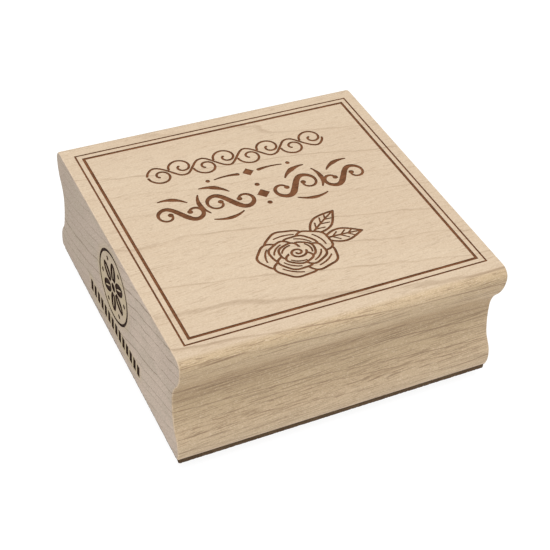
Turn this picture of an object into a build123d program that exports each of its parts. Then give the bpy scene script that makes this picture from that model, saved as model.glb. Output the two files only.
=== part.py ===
"""Wood-mounted rubber stamp, in millimetres.

A maple block carries a foam cushion and a rubber die, held together by two films of adhesive.
The block is a length of moulding: its front and back are milled with a nose, a finger cove and
a foot, and its two ends are sawn flat. The cushion covers the whole base, because it is sawn
with the moulding; the die is trimmed just outside its artwork. The same artwork is burnt into
the top of the block, as an index of what prints, and stands in relief under the die.

Frame: X runs along the moulding, Y from front to back, Z up. The origin is the centre of the
printing face, so the block's top is uppermost and the relief stands on Z = 0.
"""

from math import asin, cos, degrees, pi, radians, sin
import os

from build123d import *

# ---- Block -------------------------------------------------------------------------------
BLOCK_LENGTH = 63.5  # along X, between the sawn ends
BLOCK_WIDTH = 63.5  # along Y, over the two noses
BLOCK_HEIGHT = 23.8  # the wood alone
END_EASING = 0.35  # sanded onto the edges of the sawn ends

# The moulded side is a chain of arcs, from the flat top down to the base. Leans are from
# upright, in degrees.
NOSE_TOP_RADIUS = 2.1  # rolls over from the flat top to the widest line
NOSE_UNDER_RADIUS = 8.0  # rolls back under the nose
COVE_RADIUS = 6.0  # hollow that the fingers grip
COVE_LEAN = 39.0  # where the nose turns into the cove
FLARE_LEAN = 15.0  # where the long flare reaches the hollow above the foot
HOLLOW_RADIUS = 4.9  # small hollow above the foot
FOOT_LEAN = 40.0  # where the hollow turns into the foot
FOOT_RADIUS = 5.3
FOOT_HEIGHT = 1.9  # the foot's widest line above the base

# ---- Artwork on the top and on the die -----------------------------------------------------
BORDER_END_MARGIN = 2.5  # from a sawn end to the outer border line
BORDER_SIDE_MARGIN = 1.9  # from the edge of the flat top to the outer border line
BORDER_GAP = 1.3  # between the centres of the two border lines
OUTER_LINE = 0.36  # widths of the lines
INNER_LINE = 0.58
FINE_LINE = 0.5
HAIR_LINE = 0.34  # veins, folds and the thin ends of broad strokes
ART_HALF_LENGTH = 29.25  # outer border that the ornaments are laid out for
ART_HALF_WIDTH = 27.75
BURN_DEPTH = 0.15  # burnt recess in the top

# ---- Mark on the left end -------------------------------------------------------------------
MARK_DEPTH = 0.2  # burnt recess in the end
MARK_TOP_MARGIN = 2.2  # from the top of the block to the ring
MARK_GAP = 1.0  # from the ring to the band
MARK_RADIUS = 7.5  # ring that the flower is laid out for
MARK_LINE = 0.6
PETALS = 6
PETAL_OFFSET = 3.4  # petals' middles from the flower's centre
PETAL_LENGTH = 4.4
PETAL_WIDTH = 2.7
VEIN_LENGTH = 2.6  # slit left along each petal
HEART_RADIUS = 0.95
HEART_GAP = 0.5
BEAD_OFFSET = 5.6  # beads between the petals' tips
BEAD_RADIUS = 0.5
BAND_ABOVE_BASE = 4.25  # middle of the band above the base of the block
BAND_HEIGHT = 2.7
BAND_BAR = 1.3  # width of its upright bars
BAND_PITCH = 1.92
BAND_BARS = 14

# ---- Cushion and die ------------------------------------------------------------------------
DIE_MARGIN = 1.1  # rubber left outside the outer border line
DIE_CORNER = 0.8  # radius of the cut corners
FILM_THICKNESS = 0.1  # each film of adhesive
CUSHION_THICKNESS = 1.1
DIE_FLOOR = 1.2  # solid sheet of the die
RELIEF_HEIGHT = 1.0  # how far the artwork stands out of the sheet

# ---- Heights, from the printing face up -----------------------------------------------------
DIE_TOP = RELIEF_HEIGHT + DIE_FLOOR
CUSHION_BOTTOM = DIE_TOP + FILM_THICKNESS
CUSHION_TOP = CUSHION_BOTTOM + CUSHION_THICKNESS
BLOCK_BOTTOM = CUSHION_TOP + FILM_THICKNESS
BLOCK_TOP = BLOCK_BOTTOM + BLOCK_HEIGHT

# ---- Sizes that follow ----------------------------------------------------------------------
FLAT_HALF_WIDTH = BLOCK_WIDTH / 2 - NOSE_TOP_RADIUS
BORDER_HALF_LENGTH = BLOCK_LENGTH / 2 - BORDER_END_MARGIN
BORDER_HALF_WIDTH = FLAT_HALF_WIDTH - BORDER_SIDE_MARGIN
ART_SCALE = min(BORDER_HALF_LENGTH / ART_HALF_LENGTH, BORDER_HALF_WIDTH / ART_HALF_WIDTH)
DIE_LENGTH = 2 * (BORDER_HALF_LENGTH + DIE_MARGIN)
DIE_WIDTH = 2 * (BORDER_HALF_WIDTH + DIE_MARGIN)

# The flare takes up the height that the other arcs of the side leave.
FOOT_TUCK = degrees(asin(FOOT_HEIGHT / FOOT_RADIUS))
WAIST_DEPTH = NOSE_TOP_RADIUS + (NOSE_UNDER_RADIUS + COVE_RADIUS) * sin(radians(COVE_LEAN))
FOOT_RISE = FOOT_HEIGHT + FOOT_RADIUS * sin(radians(FOOT_LEAN))
HOLLOW_RISE = HOLLOW_RADIUS * (sin(radians(FOOT_LEAN)) - sin(radians(FLARE_LEAN)))
FLARE_RISE = BLOCK_HEIGHT - WAIST_DEPTH - HOLLOW_RISE - FOOT_RISE
FLARE_RADIUS = FLARE_RISE / sin(radians(FLARE_LEAN))


def pen_line(points, widths):
    """Adds a pen line with round ends to the open sketch, smoothly through the points.

    widths are the pen's widths at even steps from the start to the end of the line."""
    path = Edge.make_spline([Vector(*point) for point in points])
    steps = 2 * len(points)
    left, right = [], []
    for i in range(steps + 1):
        place = i / steps * (len(widths) - 1)
        low = min(int(place), len(widths) - 2)
        half = (widths[low] + (widths[low + 1] - widths[low]) * (place - low)) / 2
        reach = (path % (i / steps)).rotate(Axis.Z, 90) * half
        left.append((path @ (i / steps)) + reach)
        right.append((path @ (i / steps)) - reach)
    head = (path @ 1) + (path % 1) * (widths[-1] / 2)
    tail = (path @ 0) - (path % 0) * (widths[0] / 2)
    with BuildLine() as outline:
        Spline(*left)
        ThreePointArc(left[-1], head, right[-1])
        Spline(*reversed(right))
        ThreePointArc(right[0], tail, left[0])
    make_face(outline.edges())


def both_sides(points, widths):
    """Adds a pen line and its mirror image across the middle of the block."""
    pen_line(points, widths)
    pen_line([(-x, y) for x, y in points], widths)


def spiral(centre, start, sweep, first_radius, last_radius, squash=1.0, bulge=0.0):
    """Points round a centre, from one radius to another; bulge swells the middle of the sweep."""
    steps = max(3, round(abs(sweep) / 40))
    points = []
    for i in range(steps + 1):
        share = i / steps
        angle = radians(start + sweep * share)
        radius = first_radius + (last_radius - first_radius) * share + bulge * sin(pi * share)
        points.append((centre[0] + radius * cos(angle), centre[1] + squash * radius * sin(angle)))
    return points


def frame_line(half_length, half_width, line):
    """Adds a rectangular line to the open sketch, which must still be empty inside it."""
    Rectangle(2 * half_length + line, 2 * half_width + line)
    Rectangle(2 * half_length - line, 2 * half_width - line, mode=Mode.SUBTRACT)


def running_scroll(centre_y, half_length, waves):
    """Adds a thin wavy stem with a tendril curled into each of its hollows."""
    step = half_length / waves
    stem = [(-half_length, centre_y)]
    for i in range(2 * waves):
        side = 1 if i % 2 == 0 else -1
        crest = -half_length + step * (i + 0.5)
        stem.append((crest, centre_y + side * 1.9))
        stem.append((crest + step / 2, centre_y))
        curl = spiral((crest + 0.2, centre_y - side * 0.7), 180, side * 400, step / 2 + 0.2, 0.5)
        pen_line(curl, [FINE_LINE, FINE_LINE])
    pen_line(stem, [FINE_LINE, FINE_LINE])


def small_divider(centre_y):
    """Adds a lozenge between two tapering dashes and two beads."""
    with Locations((0, centre_y)):
        Rectangle(1.7, 1.7, rotation=45)
    both_sides([(2.2, centre_y), (4.6, centre_y + 0.25), (7.0, centre_y)], [0.8, FINE_LINE, HAIR_LINE])
    with Locations((-8.4, centre_y), (8.4, centre_y)):
        Circle(0.45)


def broad_scroll(near, far, radius, broad):
    """Adds a pair of mirrored lying scrolls, thin in their eyes and broad where they cross."""
    near_eye = spiral(near, 20, 250, radius * 0.4, radius)
    far_eye = spiral(far, 90, -290, radius * 1.05, radius * 0.35)
    both_sides(near_eye + far_eye, [FINE_LINE, 0.8, broad, broad * 0.85, 0.55, FINE_LINE])
    for eye in (near_eye[0], far_eye[-1]):
        with Locations(eye, (-eye[0], eye[1])):
            Circle(0.55)


def scrollwork():
    """Adds the broad scrollwork across the middle, the same to left and right."""
    with Locations((0, 4.5)):
        Rectangle(1.9, 1.9, rotation=45)
    with Locations((0, 7.4), (0, 1.6)):
        Circle(0.5)
    broad_scroll((4.1, 4.3), (9.3, 4.7), 2.2, 1.35)
    broad_scroll((14.3, 3.9), (19.4, 4.3), 2.0, 1.25)
    both_sides([(5.9, 7.4), (8.0, 9.3), (10.9, 10.0)], [HAIR_LINE, 1.15, HAIR_LINE])
    both_sides([(11.6, 2.6), (12.6, 5.6), (11.9, 8.3)], [HAIR_LINE, 1.0, HAIR_LINE])
    both_sides([(14.6, 7.0), (16.8, 8.6), (19.6, 8.9)], [HAIR_LINE, 1.0, HAIR_LINE])
    both_sides([(5.6, 1.0), (8.6, 0.0), (11.6, 0.6)], [HAIR_LINE, 0.9, HAIR_LINE])


def leaf(base, tip, half_width):
    """Adds a pointed leaf with a midrib and three pairs of veins."""
    base, tip = Vector(*base), Vector(*tip)
    along = tip - base
    across = along.normalized().rotate(Axis.Z, 90) * half_width

    def spot(share, side):
        point = base + along * share + across * side
        return (point.X, point.Y)

    pen_line([spot(0, 0), spot(0.5, 0.06), spot(0.97, 0)], [FINE_LINE, HAIR_LINE])
    for side in (1, -1):
        edge = [spot(0, 0), spot(0.2, 0.72 * side), spot(0.5, side), spot(0.8, 0.5 * side), spot(1, 0)]
        pen_line(edge, [FINE_LINE, FINE_LINE])
        for share in (0.2, 0.42, 0.62):
            vein = [spot(share, 0), spot(share + 0.1, 0.34 * side), spot(share + 0.17, 0.6 * side)]
            pen_line(vein, [HAIR_LINE, HAIR_LINE])


def petal(centre, direction, reach, half_angle, squash):
    """Draws one petal over what lies behind it: a rounded edge that rises to an off-centre tip."""
    outline = [(0.12, -1), (0.62, -1), (0.93, -0.72), (0.99, -0.3), (1.06, 0.08), (0.98, 0.4),
               (0.9, 0.78), (0.58, 1), (0.12, 1)]
    points = []
    for out, aside in outline:
        angle = radians(direction + aside * half_angle)
        points.append((centre[0] + out * reach * cos(angle), centre[1] + squash * out * reach * sin(angle)))
    with BuildLine() as edge:
        Spline(*points)
        Line(points[-1], points[0])
    make_face(edge.edges(), mode=Mode.SUBTRACT)
    pen_line(points, [FINE_LINE, FINE_LINE])


def rose(centre, squash):
    """Adds an open rose: three rings of petals, each laid over the one outside it, and a heart."""
    rings = [(5, 100, 7.3, 47), (4, 60, 5.1, 58), (3, 20, 3.4, 74)]
    heart = 1.7
    for petals, first, reach, half_angle in rings:
        for i in range(petals):
            direction = first + 360 / petals * i
            petal(centre, direction, reach, half_angle, squash)
            first_fold = direction - half_angle * 0.5
            fold = spiral(centre, first_fold, half_angle * 0.8, reach * 0.8, reach * 0.86, squash)
            pen_line(fold, [HAIR_LINE, 1.2 * HAIR_LINE, HAIR_LINE])
    with Locations(centre):
        Ellipse(heart, heart * squash, mode=Mode.SUBTRACT)
    pen_line(spiral(centre, 200, 520, 0.3, heart, squash), [FINE_LINE, FINE_LINE])


def ornaments():
    """Adds everything inside the border, in the layout's own millimetres."""
    running_scroll(16.9, 18.6, 4)
    small_divider(11.6)
    scrollwork()
    leaf((3.2, -9.6), (9.8, -4.9), 1.8)
    leaf((4.8, -11.6), (12.3, -11.9), 1.75)
    rose((-1.5, -13.3), 0.84)


def artwork():
    """The printed design, seen from above."""
    with BuildSketch() as inside:
        ornaments()
    with BuildSketch() as design:
        frame_line(BORDER_HALF_LENGTH, BORDER_HALF_WIDTH, OUTER_LINE)
        frame_line(BORDER_HALF_LENGTH - BORDER_GAP, BORDER_HALF_WIDTH - BORDER_GAP, INNER_LINE)
        add(inside.sketch.scale(ART_SCALE))
    return design.sketch


def medallion():
    """Adds a flower in a ring to the open sketch, in the layout's own millimetres."""
    Circle(MARK_RADIUS)
    Circle(MARK_RADIUS - MARK_LINE, mode=Mode.SUBTRACT)
    with PolarLocations(PETAL_OFFSET, PETALS, start_angle=90):
        Ellipse(PETAL_LENGTH / 2, PETAL_WIDTH / 2)
        Ellipse(VEIN_LENGTH / 2, HAIR_LINE / 2, mode=Mode.SUBTRACT)
    Circle(HEART_RADIUS + HEART_GAP, mode=Mode.SUBTRACT)
    Circle(HEART_RADIUS)
    with PolarLocations(BEAD_OFFSET, PETALS, start_angle=90 + 180 / PETALS):
        Circle(BEAD_RADIUS)


def end_mark():
    """The mark on the left end, from the base's middle up: a band of upright bars, and a flower
    in a ring that fills the height from the band to the top margin."""
    ring_bottom = BAND_ABOVE_BASE + BAND_HEIGHT / 2 + MARK_GAP
    ring_top = BLOCK_HEIGHT - MARK_TOP_MARGIN
    with BuildSketch() as flower:
        medallion()
    with BuildSketch() as design:
        with Locations((0, (ring_bottom + ring_top) / 2)):
            add(flower.sketch.scale((ring_top - ring_bottom) / (2 * MARK_RADIUS)))
        with Locations((0, BAND_ABOVE_BASE)):
            with GridLocations(BAND_PITCH, 0, BAND_BARS, 1):
                Rectangle(BAND_BAR, BAND_HEIGHT)
    return design.sketch


ART = artwork()
LEFT_END = Plane((-BLOCK_LENGTH / 2, 0, BLOCK_BOTTOM), x_dir=(0, -1, 0), z_dir=(-1, 0, 0))
os.makedirs("parts", exist_ok=True)

# ---- Wood block -----------------------------------------------------------------------------
with BuildPart() as wood_block:
    with BuildSketch(Plane.YZ.offset(-BLOCK_LENGTH / 2)):
        with BuildLine():
            top = Line((0, BLOCK_TOP), (FLAT_HALF_WIDTH, BLOCK_TOP))
            nose_top = JernArc(top @ 1, top % 1, NOSE_TOP_RADIUS, -90)
            nose_under = JernArc(nose_top @ 1, nose_top % 1, NOSE_UNDER_RADIUS, -COVE_LEAN)
            cove = JernArc(nose_under @ 1, nose_under % 1, COVE_RADIUS, COVE_LEAN)
            flare = JernArc(cove @ 1, cove % 1, FLARE_RADIUS, FLARE_LEAN)
            hollow = JernArc(flare @ 1, flare % 1, HOLLOW_RADIUS, FOOT_LEAN - FLARE_LEAN)
            foot = JernArc(hollow @ 1, hollow % 1, FOOT_RADIUS, -FOOT_LEAN - FOOT_TUCK)
            Line(foot @ 1, (0, BLOCK_BOTTOM))
            mirror(about=Plane.YZ)
        make_face()
    extrude(amount=BLOCK_LENGTH)
    sawn_ends = faces().group_by(Axis.X)[0] + faces().group_by(Axis.X)[-1]
    fillet(sawn_ends.edges(), radius=END_EASING)

    with BuildSketch(Plane.XY.offset(BLOCK_TOP)):
        add(ART)
    extrude(amount=-BURN_DEPTH, mode=Mode.SUBTRACT)

    with BuildSketch(LEFT_END):
        add(end_mark())
    extrude(amount=-MARK_DEPTH, mode=Mode.SUBTRACT)

BASE = wood_block.faces().sort_by(Axis.Z)[0].bounding_box().size

# ---- Adhesive film between block and cushion ------------------------------------------------
with BuildPart() as block_adhesive:
    with BuildSketch(Plane.XY.offset(CUSHION_TOP)):
        Rectangle(BASE.X, BASE.Y)
    extrude(amount=FILM_THICKNESS)

# ---- Foam cushion ---------------------------------------------------------------------------
with BuildPart() as foam_cushion:
    with BuildSketch(Plane.XY.offset(CUSHION_BOTTOM)):
        Rectangle(BASE.X, BASE.Y)
    extrude(amount=CUSHION_THICKNESS)

# ---- Adhesive film between cushion and die --------------------------------------------------
with BuildPart() as die_adhesive:
    with BuildSketch(Plane.XY.offset(DIE_TOP)):
        RectangleRounded(DIE_LENGTH, DIE_WIDTH, DIE_CORNER)
    extrude(amount=FILM_THICKNESS)

# ---- Rubber die: a sheet with the artwork standing out of its underside ---------------------
with BuildPart() as rubber_die:
    with BuildSketch(Plane.XY.offset(RELIEF_HEIGHT)):
        RectangleRounded(DIE_LENGTH, DIE_WIDTH, DIE_CORNER)
    extrude(amount=DIE_FLOOR)
    with BuildSketch(Plane.XY):
        add(ART)
    extrude(amount=RELIEF_HEIGHT)

pieces = {
    "wood_block": wood_block,
    "block_adhesive": block_adhesive,
    "foam_cushion": foam_cushion,
    "die_adhesive": die_adhesive,
    "rubber_die": rubber_die,
}
for name, piece in pieces.items():
    piece.part.label = name
    export_step(piece.part, f"parts/{name}.step")
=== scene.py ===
"""The looks of a wood-mounted rubber stamp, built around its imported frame.

Everything is in metres, in the frame's own axes: X along the moulding and its grain, Y away from
the reader, Z up. The origin is the centre of the printing face, on the floor. Materials and the
foam's mesh are worked out in millimetres, because grain and cells are easier to read at that size.
"""

import math
from collections import namedtuple

import bpy
from mathutils import Matrix, Vector, noise


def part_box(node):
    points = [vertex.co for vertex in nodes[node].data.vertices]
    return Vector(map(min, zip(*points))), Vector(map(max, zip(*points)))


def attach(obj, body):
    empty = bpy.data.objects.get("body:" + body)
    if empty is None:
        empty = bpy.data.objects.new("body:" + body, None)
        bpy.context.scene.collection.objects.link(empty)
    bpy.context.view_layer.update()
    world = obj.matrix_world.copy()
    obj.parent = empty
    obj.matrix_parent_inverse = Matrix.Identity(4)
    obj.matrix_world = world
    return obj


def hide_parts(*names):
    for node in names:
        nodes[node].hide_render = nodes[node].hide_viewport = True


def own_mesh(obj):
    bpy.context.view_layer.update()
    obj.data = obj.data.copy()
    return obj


MM = 0.001

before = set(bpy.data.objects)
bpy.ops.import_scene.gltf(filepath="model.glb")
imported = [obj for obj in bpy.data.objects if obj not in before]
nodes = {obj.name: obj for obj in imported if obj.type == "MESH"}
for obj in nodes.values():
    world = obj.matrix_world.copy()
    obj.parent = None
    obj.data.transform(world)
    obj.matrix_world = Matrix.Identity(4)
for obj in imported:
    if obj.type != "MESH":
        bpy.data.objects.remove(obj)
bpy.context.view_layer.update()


def box_mm(node):
    """A node's lowest and highest corners, in millimetres."""
    low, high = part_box(node)
    return Vector(low) / MM, Vector(high) / MM


block_low, block_high = box_mm("wood_block")
foam_low, foam_high = box_mm("foam_cushion")
die_low, die_high = box_mm("rubber_die")

# ---- Camera ---------------------------------------------------------------------------------
CAMERA_FROM_TOP = Vector((-87.46, -164.92, 147.4))  # millimetres, from the middle of the top
CAMERA_BEARING = math.radians(28.32)  # from +Y towards +X
CAMERA_DOWN = math.radians(41.33)
CAMERA_ROLL = math.radians(4.58)  # right-hand side raised
CAMERA_LENS = 83.56
SENSOR_WIDTH = 36.0


def add_camera():
    """A camera at the place and angle of the product view."""
    data = bpy.data.cameras.new("camera")
    data.sensor_width = SENSOR_WIDTH
    data.lens = CAMERA_LENS
    data.clip_start = 0.01
    ahead = Vector((
        math.sin(CAMERA_BEARING) * math.cos(CAMERA_DOWN),
        math.cos(CAMERA_BEARING) * math.cos(CAMERA_DOWN),
        -math.sin(CAMERA_DOWN),
    ))
    level_right = ahead.cross(Vector((0, 0, 1))).normalized()
    level_up = level_right.cross(ahead)
    right = level_right * math.cos(CAMERA_ROLL) + level_up * math.sin(CAMERA_ROLL)
    up = right.cross(ahead)
    place = (Vector((0, 0, block_high.z)) + CAMERA_FROM_TOP) * MM
    turned = Matrix((right, up, -ahead)).transposed().to_4x4()
    camera = bpy.data.objects.new("camera", data)
    camera.matrix_world = Matrix.Translation(place) @ turned
    bpy.context.scene.collection.objects.link(camera)
    bpy.context.scene.camera = camera


# ---- Materials ------------------------------------------------------------------------------
class Paint:
    """One material's node tree, with a short call for each kind of node that the pieces use."""

    def __init__(self, name):
        self.material = bpy.data.materials.new(name)
        self.material.use_nodes = True
        self.tree = self.material.node_tree
        self.shader = self.tree.nodes["Principled BSDF"]
        coordinates = self.tree.nodes.new("ShaderNodeTexCoord")
        self.place = self.vector("SCALE", coordinates.outputs["Object"], scale=1 / MM)
        self.normal = coordinates.outputs["Normal"]

    def feed(self, socket, value):
        """Links a socket to another node's output, or sets it to a plain value."""
        if isinstance(value, bpy.types.NodeSocket):
            self.tree.links.new(value, socket)
        else:
            socket.default_value = value

    def set(self, **values):
        """Feeds the shader's own sockets, named with underscores for spaces."""
        for name, value in values.items():
            self.feed(self.shader.inputs[name.replace("_", " ")], value)

    def calc(self, operation, *values):
        """One Math node; more than two values are folded from the left."""
        result = values[0]
        for value in values[1:] or [None]:
            node = self.tree.nodes.new("ShaderNodeMath")
            node.operation = operation
            self.feed(node.inputs[0], result)
            if value is not None:
                self.feed(node.inputs[1], value)
            result = node.outputs[0]
        return result

    def add(self, *values):
        return self.calc("ADD", *values)

    def times(self, *values):
        return self.calc("MULTIPLY", *values)

    def less(self, *values):
        return self.calc("SUBTRACT", *values)

    def absolute(self, value):
        return self.calc("ABSOLUTE", value)

    def between(self, mask, low, high):
        """low where the mask is 0, high where it is 1."""
        return self.add(self.times(mask, high - low), low)

    def vector(self, operation, *values, scale=None):
        node = self.tree.nodes.new("ShaderNodeVectorMath")
        node.operation = operation
        for socket, value in zip(node.inputs, values):
            self.feed(socket, value)
        if scale is not None:
            self.feed(node.inputs["Scale"], scale)
        return node.outputs["Vector"]

    def split(self, vector):
        node = self.tree.nodes.new("ShaderNodeSeparateXYZ")
        self.feed(node.inputs[0], vector)
        return node.outputs[0], node.outputs[1], node.outputs[2]

    def step(self, value, low, high):
        """0 at low, 1 at high, and a smooth change between; low may be the larger."""
        node = self.tree.nodes.new("ShaderNodeMapRange")
        node.interpolation_type = "SMOOTHSTEP"
        self.feed(node.inputs["Value"], value)
        self.feed(node.inputs["From Min"], low)
        self.feed(node.inputs["From Max"], high)
        return node.outputs["Result"]

    def noise(self, per_mm, detail=2.0, roughness=0.5, shift=(0, 0, 0)):
        """Noise about 0.5, with about per_mm features in a millimetre along each axis."""
        node = self.tree.nodes.new("ShaderNodeTexNoise")
        moved = self.vector("ADD", self.vector("MULTIPLY", self.place, per_mm), shift)
        self.feed(node.inputs["Vector"], moved)
        node.inputs["Scale"].default_value = 1.0
        node.inputs["Detail"].default_value = detail
        node.inputs["Roughness"].default_value = roughness
        return node.outputs["Fac"]

    def swing(self, reach, *noise_values, **noise_options):
        """Noise that swings to about reach either side of 0."""
        return self.times(self.less(self.noise(*noise_values, **noise_options), 0.5), 2 * reach)

    def noise_along(self, value, scale):
        """Noise of one number."""
        node = self.tree.nodes.new("ShaderNodeTexNoise")
        node.noise_dimensions = "1D"
        self.feed(node.inputs["W"], self.times(value, scale))
        node.inputs["Scale"].default_value = 1.0
        return node.outputs["Fac"]

    def white(self, value):
        """A random number from 0 to 1 for each whole number."""
        node = self.tree.nodes.new("ShaderNodeTexWhiteNoise")
        node.noise_dimensions = "1D"
        self.feed(node.inputs["W"], value)
        return node.outputs["Value"]

    def cells(self, per_mm):
        """Distance to the nearest of scattered points."""
        node = self.tree.nodes.new("ShaderNodeTexVoronoi")
        self.feed(node.inputs["Vector"], self.vector("MULTIPLY", self.place, per_mm))
        node.inputs["Scale"].default_value = 1.0
        return node.outputs["Distance"]

    def mix(self, share, first, second):
        """A colour from first to second."""
        node = self.tree.nodes.new("ShaderNodeMix")
        node.data_type = "RGBA"
        self.feed(node.inputs["Factor"], share)
        for socket, colour in ((node.inputs[6], first), (node.inputs[7], second)):
            self.feed(socket, colour if isinstance(colour, bpy.types.NodeSocket) else (*colour, 1.0))
        return node.outputs[2]

    def over(self, under, colour, *shares):
        """A colour laid over another, in the product of two or more shares."""
        return self.mix(self.times(*shares), under, colour)

    def bump(self, height, strength, depth_mm):
        node = self.tree.nodes.new("ShaderNodeBump")
        node.inputs["Strength"].default_value = strength
        node.inputs["Distance"].default_value = depth_mm * MM
        self.feed(node.inputs["Height"], height)
        return node.outputs["Normal"]


def srgb(red, green, blue):
    """A screen colour from 0 to 255 as linear light."""
    def linear(level):
        share = level / 255
        return share / 12.92 if share <= 0.04045 else ((share + 0.055) / 1.055) ** 2.4

    return linear(red), linear(green), linear(blue)


# ---- Wood -----------------------------------------------------------------------------------
RING_WIDTH = 2.4  # millimetres of wood a year
RING_TILT = 0.36  # rise of the rings towards the front
RING_DRIFT = 0.06  # fall of the rings along the grain
RING_BEND = 0.0094  # the rings level out towards the back, past RING_BEND_FROM
RING_BEND_FROM = 12.0
RING_WANDER = 1.7  # slow and quick swings of the rings, in millimetres
RING_WOBBLE = 0.35
YEAR_SPREAD = 2.4  # how far noise moves the bounds between years

# Tones of the planed faces. A pair runs from the darker patches of the board to the paler ones.
TOP_TONES = (0.588, 0.464, 0.334), (0.608, 0.486, 0.352)
# The sides' pair is darker than the top's: partly the milled faces' own yellow-brown, partly painted shade,
# as the sides face away from the overhead light.
SIDE_TONES_AND_SHADE = (0.515, 0.384, 0.232), (0.585, 0.444, 0.280)
# Painted shade: the cove under the nose, darker than the rest of the side.
COVE_SHADE = (0.400, 0.280, 0.160)
# Painted light: the foot, paler where it rolls out to face the light.
FOOT_LIGHT = (0.600, 0.465, 0.315)
LATEWOOD = (0.46, 0.325, 0.21)
FIBRE = (0.50, 0.355, 0.23)
THREAD = (0.47, 0.335, 0.215)
DARK_GRIT = (0.38, 0.27, 0.17)
PALE_GRIT = (0.76, 0.63, 0.475)
STREAK = (0.24, 0.150, 0.085)
HAIR = (0.20, 0.125, 0.07)
RING_LINE = (0.25, 0.16, 0.095)
PORE = (0.27, 0.17, 0.10)
FLECK = (0.38, 0.26, 0.165)
# Painted highlight on the eased edges and the foot's lower edge.
EDGE_HIGHLIGHT = (0.72, 0.57, 0.42)

# Tones of the sawn ends.
END_TONES = (0.515, 0.414, 0.336), (0.568, 0.460, 0.374)
# Painted shade: the end grows darker towards the back, away from the light.
END_BACK_SHADE = (0.315, 0.255, 0.200)  # mixed in more and more towards the back
END_BLOTCH = (0.43, 0.365, 0.280)
END_LATEWOOD = (0.38, 0.29, 0.21)
END_RING_LINE = (0.235, 0.180, 0.130)
END_DARK_DOT = (0.29, 0.225, 0.175)
END_PALE_DOT = (0.68, 0.58, 0.49)
END_RAY = (0.58, 0.47, 0.37)
END_PORE = (0.26, 0.19, 0.14)
SCORCH = (0.50, 0.405, 0.240)

# Bounds of the side's tones below the top: where each starts to show, and where it is full.
# COVE_DARKENS and COVE_LIGHTENS bound the painted shade of the cove.
COVE_DARKENS = 6.0, 8.0
COVE_LIGHTENS = 14.5, 10.0
# FOOT_PALES bounds the painted light on the foot.
FOOT_PALES = 15.0, 20.0

TOP_BURN = srgb(96, 60, 35), srgb(124, 80, 51)
END_BURN = srgb(34, 14, 3), srgb(58, 32, 13)


def growth_rings(wood, x, y, z):
    """How far through its year the wood is, from 0 to 1, and the year's number."""
    behind = wood.calc("MAXIMUM", wood.less(y, RING_BEND_FROM), 0.0)
    bend = wood.times(behind, behind, RING_BEND)
    level = wood.less(wood.add(z, wood.times(y, RING_TILT), wood.times(x, RING_DRIFT)), bend)
    wander = wood.swing(RING_WANDER, (0.016, 0.05, 0.05))
    wobble = wood.swing(RING_WOBBLE, (0.09, 0.3, 0.3), shift=(7, 3, 1))
    level = wood.add(level, wander, wobble)
    spread = wood.times(wood.noise_along(level, 0.3), YEAR_SPREAD)
    years = wood.calc("DIVIDE", wood.add(level, spread), RING_WIDTH)
    return wood.calc("FRACT", years), wood.calc("FLOOR", years)


MARK_HEIGHT = 14.1  # middle of the end's ring above the base of the block
MARK_RADIUS = 7.5
BAND_LOW, BAND_HIGH = 2.9, 5.6  # the end's band of bars, above the base of the block
BAND_REACH = 13.2  # from its middle to its ends
MARK_REACH = 16.0  # no mark of the end comes as far as this to the side,
MARK_FROM_BASE = 2.0  # as near to the base of the block,
MARK_FROM_TOP = 1.0  # or as near to its top
TOP_RECESS, END_RECESS = 0.3, 0.4  # no recess is as deep as this
BURN_INSET = 0.04  # the recesses' colour starts this far below the surface
BURN_EDGE = 0.02  # half the depth over which it comes in


def scorched_place(wood, y, z):
    """1 round the burnt mark of the left end, where the heat has yellowed the wood."""
    up = wood.less(z, block_low.z + MARK_HEIGHT)
    away = wood.calc("SQRT", wood.add(wood.times(y, y), wood.times(up, up)))
    round_ring = wood.step(away, MARK_RADIUS + 2.0, MARK_RADIUS - 1.0)
    above_base = wood.less(z, block_low.z)
    round_band = wood.times(
        wood.step(above_base, BAND_LOW - 1.8, BAND_LOW + 0.6),
        wood.step(above_base, BAND_HIGH + 1.6, BAND_HIGH - 0.6),
        wood.step(wood.absolute(y), BAND_REACH + 1.8, BAND_REACH - 0.8),
    )
    return wood.calc("MAXIMUM", round_ring, round_band)


def burnt_places(wood, x, y, z):
    """1 in the recesses of the top, within the die's outline, and of the left end: two masks."""
    top, base, left = block_high.z, block_low.z, block_low.x
    top_burn, left_burn = top - BURN_INSET, left + BURN_INSET
    in_top = wood.times(
        wood.step(z, top - TOP_RECESS - 0.1, top - TOP_RECESS),
        wood.step(wood.absolute(y), die_high.y, die_high.y - 0.1),
        wood.step(wood.absolute(x), die_high.x + 0.3, die_high.x + 0.2),
        wood.step(z, top_burn + BURN_EDGE, top_burn - BURN_EDGE),
    )
    in_end = wood.times(
        wood.step(x, left + END_RECESS + 0.1, left + END_RECESS),
        wood.step(wood.absolute(y), MARK_REACH, MARK_REACH - 0.5),
        wood.step(z, base + MARK_FROM_BASE, base + MARK_FROM_BASE + 0.5),
        wood.step(z, top - MARK_FROM_TOP, top - MARK_FROM_TOP - 0.5),
        wood.step(x, left_burn - BURN_EDGE, left_burn + BURN_EDGE),
    )
    return in_top, in_end


def year_lines(wood, season, year):
    """1 on the thin dark line that ends each year, stronger in some years and places."""
    patches = wood.step(wood.noise((0.045, 0.25, 0.25), detail=3), 0.38, 0.6)
    return wood.times(
        wood.step(season, 0.905, 0.97),
        wood.step(season, 1.0, 0.98),
        wood.between(wood.white(year), 0.2, 1.0),
        wood.between(patches, 0.25, 1.0),
    )


Grain = namedtuple("Grain", "broad late line fibres threads pores")


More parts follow.
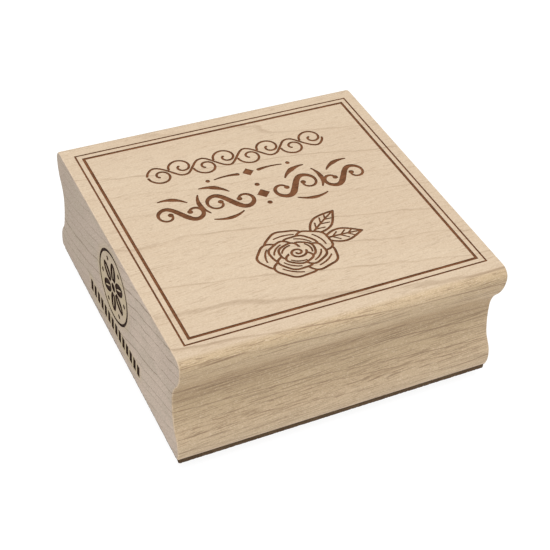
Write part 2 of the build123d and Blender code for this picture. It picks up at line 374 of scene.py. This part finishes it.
def shared_grain(wood, season, year):
    """The parts of the grain that the planed faces and the sawn ends share."""
    return Grain(
        broad=wood.step(wood.noise((0.02, 0.07, 0.07), shift=(5, 5, 5)), 0.35, 0.65),
        late=wood.calc("POWER", season, 3.0),
        line=year_lines(wood, season, year),
        fibres=wood.noise((0.1, 2.4, 2.4), detail=3, roughness=0.6),
        threads=wood.noise((0.45, 8.0, 8.0), shift=(2, 6, 3)),
        pores=wood.step(wood.noise((0.5, 5.0, 5.0), detail=1, shift=(9, 1, 5)), 0.62, 0.70),
    )


def planed_colour(wood, z, side, grain):
    """The sanded top, and the milled sides, which cut the years more squarely; the sides are darker, partly
    by their own yellow-brown and partly by painted shade, with more painted shade in the cove and painted
    light on the foot.
    """
    grit = wood.noise((2.8, 4.0, 4.0), detail=2, roughness=0.7, shift=(6, 3, 2))
    flecks = wood.step(wood.noise((0.8, 3.0, 3.0), detail=1, shift=(1, 4, 8)), 0.64, 0.8)
    streaks = wood.step(wood.noise((0.05, 3.2, 3.2), detail=2, shift=(4, 2, 6)), 0.58, 0.66)
    hairs = wood.step(wood.noise((0.055, 7.5, 7.5), detail=1, shift=(8, 4, 1)), 0.595, 0.63)
    below_top = wood.less(block_high.z, z)
    cove = wood.times(wood.step(below_top, *COVE_DARKENS), wood.step(below_top, *COVE_LIGHTENS))
    # The cove's darker band is painted shade.
    side_colour_and_shade = wood.over(wood.mix(grain.broad, *SIDE_TONES_AND_SHADE), COVE_SHADE, cove, 0.60)
    # The foot's paler tone is painted light.
    side_colour_and_shade = wood.over(side_colour_and_shade, FOOT_LIGHT, wood.step(below_top, *FOOT_PALES), 0.65)
    colour = wood.mix(side, wood.mix(grain.broad, *TOP_TONES), side_colour_and_shade)
    colour = wood.over(colour, LATEWOOD, grain.late, 0.13)
    colour = wood.over(colour, FIBRE, wood.step(grain.fibres, 0.35, 0.75), 0.18)
    colour = wood.over(colour, THREAD, wood.step(grain.threads, 0.4, 0.75), 0.30)
    colour = wood.over(colour, DARK_GRIT, wood.step(grit, 0.50, 0.72), wood.between(side, 0.26, 0.44))
    colour = wood.over(colour, PALE_GRIT, wood.step(grit, 0.48, 0.28), wood.between(side, 0.32, 0.48))
    colour = wood.over(colour, STREAK, streaks, wood.between(side, 0.07, 0.33))
    colour = wood.over(colour, HAIR, hairs, side, wood.between(cove, 0.58, 0.88))
    crisp = wood.calc("MINIMUM", wood.times(grain.line, wood.between(side, 1.0, 2.5)), 0.9)
    colour = wood.over(colour, RING_LINE, crisp, wood.between(side, 0.45, 0.75))
    colour = wood.over(colour, PORE, grain.pores, wood.between(side, 0.28, 0.48))
    return wood.over(colour, FLECK, flecks, 0.16)


def sawn_colour(wood, x, y, z, grain):
    """The sawn ends: greyer, with rings as arcs, open pores as dots, and painted shade towards the back."""
    rays = wood.step(wood.noise((1.0, 0.5, 3.0), shift=(4, 4, 4)), 0.5, 0.8)
    blotches = wood.step(wood.noise((0.1, 0.12, 0.35), detail=3, shift=(2, 8, 5)), 0.4, 0.65)
    dots = wood.noise((3.5, 3.5, 3.5), detail=2, roughness=0.7, shift=(7, 7, 1))
    colour = wood.mix(grain.broad, *END_TONES)
    # Painted shade, darker towards the back of the end.
    colour = wood.over(colour, END_BACK_SHADE, wood.step(y, -22.0, 26.0), 0.42)
    colour = wood.over(colour, END_BLOTCH, blotches, 0.45)
    colour = wood.over(colour, END_LATEWOOD, grain.late, 0.16)
    arcs = wood.calc("MINIMUM", wood.times(grain.line, 2.6), 0.9)
    colour = wood.mix(arcs, colour, END_RING_LINE)
    colour = wood.over(colour, END_DARK_DOT, wood.step(dots, 0.5, 0.66), 0.55)
    colour = wood.over(colour, END_PALE_DOT, wood.step(dots, 0.47, 0.33), 0.50)
    colour = wood.over(colour, END_RAY, rays, 0.12)
    colour = wood.over(colour, END_PORE, grain.pores, 0.30)
    scorched = wood.times(scorched_place(wood, y, z), wood.step(x, 0.0, -1.0))
    return wood.over(colour, SCORCH, scorched, wood.between(blotches, 0.38, 0.68))


def highlighted_edges(wood, across, z, side):
    """How far the eased edges of the ends and the lower edge of the foot are painted pale: a painted
    highlight where they catch the light.
    """
    eased = wood.times(wood.step(across, 0.25, 0.55), wood.step(across, 0.95, 0.80))
    lower_edge = wood.times(wood.step(z, block_low.z + 0.45, block_low.z + 0.15), side)
    patchy = wood.step(wood.noise((0.7, 0.7, 0.7), detail=2, shift=(3, 3, 9)), 0.35, 0.6)
    return wood.times(wood.calc("MAXIMUM", eased, lower_edge), wood.between(patchy, 0.1, 0.5))


def maple():
    """Sanded maple: growth rings, fibres, pores and flecks, sawn end grain, burnt recesses."""
    wood = Paint("maple")
    x, y, z = wood.split(wood.place)
    nx, ny, _ = wood.split(wood.normal)
    season, year = growth_rings(wood, x, y, z)
    side = wood.step(wood.absolute(ny), 0.12, 0.65)
    across = wood.absolute(nx)
    end = wood.step(across, 0.80, 0.97)

    # Fibres and pores drift and sway too: across the top, and up and down the sides.
    sway = wood.add(wood.times(x, -RING_DRIFT), wood.swing(1.3, (0.022, 0.03, 0.03), shift=(3, 8, 2)))
    crosswise = wood.mix(side, (0.0, 1.0, 0.0), (0.0, 0.0, 1.0))
    wood.place = wood.vector("ADD", wood.place, wood.vector("SCALE", crosswise, scale=sway))

    grain = shared_grain(wood, season, year)
    colour = wood.mix(end, planed_colour(wood, z, side, grain), sawn_colour(wood, x, y, z, grain))
    # Painted highlight along the eased edges and the foot's lower edge.
    colour = wood.mix(highlighted_edges(wood, across, z, side), colour, EDGE_HIGHLIGHT)

    top_burn, end_burn = burnt_places(wood, x, y, z)
    char = wood.step(wood.noise((0.7, 1.6, 1.6), detail=3, shift=(8, 2, 6)), 0.3, 0.7)
    colour = wood.mix(top_burn, colour, wood.mix(char, *TOP_BURN))
    colour = wood.mix(end_burn, colour, wood.mix(char, *END_BURN))

    burn = wood.calc("MAXIMUM", top_burn, end_burn)
    rough = wood.add(0.52, wood.times(grain.fibres, 0.16), wood.times(wood.calc("MAXIMUM", burn, end), 0.3))
    height = wood.add(
        wood.times(grain.threads, 0.6),
        wood.times(grain.pores, -0.7),
        wood.times(grain.line, -0.3),
        wood.times(wood.noise((3.0, 14.0, 14.0), detail=1), wood.add(burn, 0.2)),
    )
    bumps = wood.bump(height, 0.5, 0.03)
    wood.set(Base_Color=colour, Roughness=rough, Specular_IOR_Level=0.2, Normal=bumps)
    return wood.material


# ---- Other materials ------------------------------------------------------------------------
FOAM_TONES = srgb(74, 53, 32), srgb(94, 73, 50)
FOAM_WALL = srgb(122, 102, 78)
# Painted shade in the hollows of the open cells.
FOAM_CELL_SHADE = srgb(54, 38, 22)
RUBBER_TONES = srgb(120, 92, 62), srgb(134, 104, 72)
RUBBER_SPECK = srgb(96, 72, 48)
RUBBER_ENGRAVED = srgb(92, 70, 48)
RASTER_PITCH = 0.16  # millimetres between the engraver's passes
# Dark brown: partly the adhesive's own amber, partly painted shadow under the block's overhang.
ADHESIVE_AND_SHADOW_TONES = srgb(66, 44, 22), srgb(92, 66, 38)
FLOOR_GREY = 0.15
FLOOR_GLOW = 0.92


def foam():
    """Closed-cell foam, cut through: small open cells in a matt brown body, with painted shade in the
    cells' hollows.
    """
    paint = Paint("foam")
    fine = paint.noise((9, 9, 9))
    tone = paint.step(paint.noise((0.35, 0.35, 1.2), detail=3), 0.35, 0.65)
    hollow = paint.step(paint.cells((5.5, 5.5, 5.5)), 0.55, 0.25)
    colour = paint.mix(tone, *FOAM_TONES)
    colour = paint.over(colour, FOAM_WALL, paint.step(fine, 0.4, 0.7), 0.4)
    # Painted shade in the cells' hollows.
    colour = paint.over(colour, FOAM_CELL_SHADE, hollow, 0.5)
    bumps = paint.bump(paint.less(paint.times(fine, 0.25), hollow), 0.7, 0.05)
    paint.set(Base_Color=colour, Roughness=0.9, Specular_IOR_Level=0.25, Normal=bumps)
    return paint.material


def rubber():
    """Engraved rubber: smooth tips and back, and fine raster lines on the floor between."""
    paint = Paint("rubber")
    _, y, z = paint.split(paint.place)
    _, _, nz = paint.split(paint.normal)
    mottled = paint.step(paint.noise((0.5, 0.5, 0.5), detail=3), 0.35, 0.65)
    speckled = paint.noise((12, 12, 12), shift=(3, 1, 7))
    engraved = paint.times(paint.step(z, die_low.z + 0.15, die_low.z + 0.5), paint.step(nz, -0.3, -0.8))
    raster = paint.calc("SINE", paint.times(y, 2 * math.pi / RASTER_PITCH))
    colour = paint.mix(mottled, *RUBBER_TONES)
    colour = paint.over(colour, RUBBER_SPECK, paint.step(speckled, 0.55, 0.75), 0.25)
    colour = paint.over(colour, RUBBER_ENGRAVED, engraved, 0.45)
    bumps = paint.bump(paint.add(paint.times(raster, engraved, 0.4), speckled), 0.4, 0.02)
    rough = paint.between(engraved, 0.55, 0.80)
    paint.set(Base_Color=colour, Roughness=rough, Specular_IOR_Level=0.4, Normal=bumps)
    return paint.material


def adhesive():
    """An amber film of adhesive, a little uneven at its cut edge; its dark brown is partly its own amber
    and partly painted shadow under the block's overhang.
    """
    paint = Paint("adhesive")
    uneven = paint.noise((2, 2, 4))
    colour = paint.mix(paint.step(uneven, 0.35, 0.65), *ADHESIVE_AND_SHADOW_TONES)
    paint.set(Base_Color=colour, Roughness=0.45, Normal=paint.bump(uneven, 0.3, 0.02))
    return paint.material


def floor_paint():
    """A white light table, which glows and so keeps the shadows pale."""
    paint = Paint("light_table")
    paint.set(Base_Color=(FLOOR_GREY, FLOOR_GREY, FLOOR_GREY, 1.0), Roughness=0.9, Specular_IOR_Level=0.1)
    paint.set(Emission_Color=(1.0, 1.0, 1.0, 1.0), Emission_Strength=FLOOR_GLOW)
    return paint.material


def dress(names, material):
    """Gives CAD nodes a better material, and keeps their shape."""
    for name in names:
        nodes[name].data.materials.clear()
        nodes[name].data.materials.append(material)


# ---- Foam cushion ---------------------------------------------------------------------------
FOAM_STEP = 0.22  # millimetres between points round the edge
FOAM_CORNER = 0.35  # radius of its corners in plan
FOAM_EDGE = 0.14  # how far its cut edges are rounded over
FOAM_RIM = 4.0  # how far in from the edge the shaped underside reaches
FOAM_ROWS = 6  # points down the cut edge
FOAM_UNDER_ROWS = 9  # points across the shaped underside
CELL = 0.34  # typical cell
CELL_DEPTH = 0.11
CELL_OPENING = 0.55  # radius of a cell's mouth, in cells
UNEVENNESS = 0.03
FLAT_TOP = 0.02  # nothing within this of the top is pitted
UNDERSIDE_PITS = 0.4  # depth of the underside's pits, as a share of the edge's


def foam_section():
    """Distance in from the edge and height, from the top round to the underside."""
    top, bottom = foam_high.z, foam_low.z
    inset = FOAM_EDGE * 0.3  # of the middle of a rounded edge, from where the sharp one would be
    section = [(FOAM_RIM, top), (FOAM_EDGE, top), (inset, top - inset)]
    for i in range(FOAM_ROWS + 1):
        section.append((0.0, top - FOAM_EDGE - (top - bottom - 2 * FOAM_EDGE) * i / FOAM_ROWS))
    section += [(inset, bottom + inset), (FOAM_EDGE, bottom)]
    for i in range(1, FOAM_UNDER_ROWS + 1):
        section.append((FOAM_EDGE + (FOAM_RIM - FOAM_EDGE) * i / FOAM_UNDER_ROWS, bottom))
    return section


def foam_outline():
    """Points and outward directions round the cushion's plan, anticlockwise from above."""
    half_x, half_y = foam_high.x, foam_high.y
    points = []
    for turn, (sx, sy) in enumerate(((1, -1), (1, 1), (-1, 1), (-1, -1))):
        centre = Vector((sx * (half_x - FOAM_CORNER), sy * (half_y - FOAM_CORNER)))
        for i in range(4):
            angle = math.radians(-90 + 90 * turn + 30 * i)
            out = Vector((math.cos(angle), math.sin(angle)))
            points.append((centre + out * FOAM_CORNER, out))
        length = 2 * ((half_y, half_x)[turn % 2] - FOAM_CORNER)
        along = out.orthogonal()
        steps = round(length / FOAM_STEP)
        start = centre + out * FOAM_CORNER
        for i in range(1, steps):
            points.append((start + along * (length * i / steps), out))
    return points


def make_foam(material):
    """The cushion as sawn foam: its cut edges are pitted with open cells."""
    section, outline = foam_section(), foam_outline()
    half_x, half_y = foam_high.x, foam_high.y
    points, faces = [], []
    for place, out in outline:
        for inward, height in section:
            # The edge keeps its direction; further in, the shape shrinks towards the middle.
            if inward <= FOAM_EDGE:
                flat = place - out * inward
            else:
                flat = Vector((place.x * (1 - inward / half_x), place.y * (1 - inward / half_y)))
            point = Vector((flat.x, flat.y, height))
            nearest = noise.voronoi(point / CELL)[0][0]
            pit = CELL_DEPTH * max(0.0, 1 - nearest / CELL_OPENING)
            pit += UNEVENNESS * (noise.noise(point * 2.5) + 1) / 2
            if height < foam_high.z - FLAT_TOP:
                if inward < FOAM_EDGE:
                    point -= Vector((out.x, out.y, 0)) * pit
                else:
                    point.z += UNDERSIDE_PITS * pit
            points.append(point * MM)
    across, around = len(section), len(outline)
    for i in range(around):
        ahead = (i + 1) % around
        for j in range(across - 1):
            faces.append((i * across + j, i * across + j + 1, ahead * across + j + 1, ahead * across + j))
    faces.append([i * across for i in range(around)])
    faces.append([i * across + across - 1 for i in reversed(range(around))])
    mesh = bpy.data.meshes.new("foam_cushion_cells")
    mesh.from_pydata(points, [], faces)
    mesh.materials.append(material)
    mesh.polygons.foreach_set("use_smooth", [True] * len(mesh.polygons))
    piece = bpy.data.objects.new("foam_cushion_cells", mesh)
    bpy.context.scene.collection.objects.link(piece)
    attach(piece, "mount")
    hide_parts("foam_cushion")
    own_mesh(piece)


# ---- Stage ----------------------------------------------------------------------------------
FLOOR_HALF = 30.0  # metres, so that the floor reaches the horizon in low views
HORIZON_STRENGTH, ROOM_STRENGTH = 1.0, 0.53
FADE_FROM, FADE_TO = 0.12, 0.30  # height of a direction, from 0 at the horizon to 1 straight up
OVERHEAD_PLACE = (-0.03, -0.06, 0.7)
OVERHEAD_SIZE = 0.6
OVERHEAD_POWER = 4.3


def add_floor():
    """A wide plain floor that the relief stands on."""
    signs = ((-1, -1), (1, -1), (1, 1), (-1, 1))
    mesh = bpy.data.meshes.new("floor")
    mesh.from_pydata([(sx * FLOOR_HALF, sy * FLOOR_HALF, 0) for sx, sy in signs], [], [(0, 1, 2, 3)])
    mesh.materials.append(floor_paint())
    floor = bpy.data.objects.new("floor", mesh)
    bpy.context.scene.collection.objects.link(floor)


def add_area_light(name, place, size, power):
    """A square soft light that faces the object."""
    data = bpy.data.lights.new(name, "AREA")
    data.size = size
    data.energy = power
    light = bpy.data.objects.new(name, data)
    light.location = place
    light.rotation_euler = (-Vector(place)).to_track_quat("-Z", "Y").to_euler()
    bpy.context.scene.collection.objects.link(light)


def add_lights():
    """A pale room, white at the horizon and dimmer above, and a large soft light overhead."""
    world = bpy.data.worlds.new("world")
    world.use_nodes = True
    tree = world.node_tree
    direction = tree.nodes.new("ShaderNodeTexCoord")
    height = tree.nodes.new("ShaderNodeSeparateXYZ")
    strength = tree.nodes.new("ShaderNodeMapRange")
    strength.interpolation_type = "SMOOTHSTEP"
    strength.inputs["From Min"].default_value = FADE_FROM
    strength.inputs["From Max"].default_value = FADE_TO
    strength.inputs["To Min"].default_value = HORIZON_STRENGTH
    strength.inputs["To Max"].default_value = ROOM_STRENGTH
    tree.links.new(direction.outputs["Generated"], height.inputs[0])
    tree.links.new(height.outputs["Z"], strength.inputs["Value"])
    tree.links.new(strength.outputs["Result"], tree.nodes["Background"].inputs["Strength"])
    tree.nodes["Background"].inputs["Color"].default_value = (1, 1, 1, 1)
    bpy.context.scene.world = world
    add_area_light("overhead", OVERHEAD_PLACE, OVERHEAD_SIZE, OVERHEAD_POWER)


bpy.context.scene.view_settings.view_transform = "Standard"
add_camera()
add_floor()
add_lights()
dress(["wood_block"], maple())
dress(["block_adhesive", "die_adhesive"], adhesive())
dress(["rubber_die"], rubber())
make_foam(foam())
